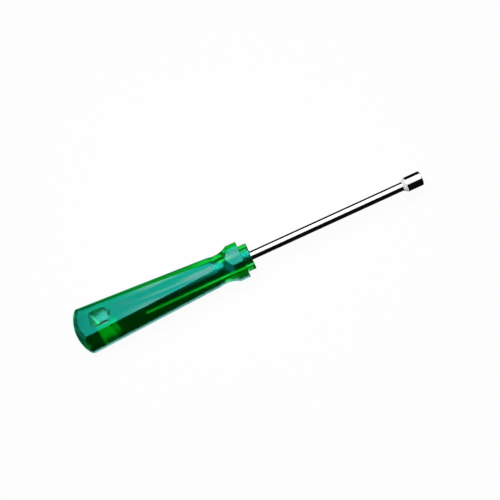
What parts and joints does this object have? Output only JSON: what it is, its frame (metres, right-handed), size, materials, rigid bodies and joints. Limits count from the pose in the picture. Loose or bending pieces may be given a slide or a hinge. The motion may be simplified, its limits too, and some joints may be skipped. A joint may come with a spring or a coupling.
{
  "type": "nut driver",
  "caption": "Hand nut driver: a clear green tapered handle with two grip flats and a hanging hole, a round plated shaft and a hexagon socket head.",
  "frame": {"origin": "middle of the tool's length and width, at the level of the lower flat's rear edge", "axes": "+X along the tool's axis towards the socket, +Z out of one of the two grip flats"},
  "size_m": [0.253, 0.0322, 0.0258],
  "materials": {
    "handle_plastic": "polished, clear, tinted green",
    "shaft_chrome": "bright plated",
    "socket_chrome": "bright plated, satin shoulder"
  },
  "bodies": {
    "root": {"handle": "handle_plastic", "shaft": "shaft_chrome", "socket": "socket_chrome"}
  },
  "joints": []
}
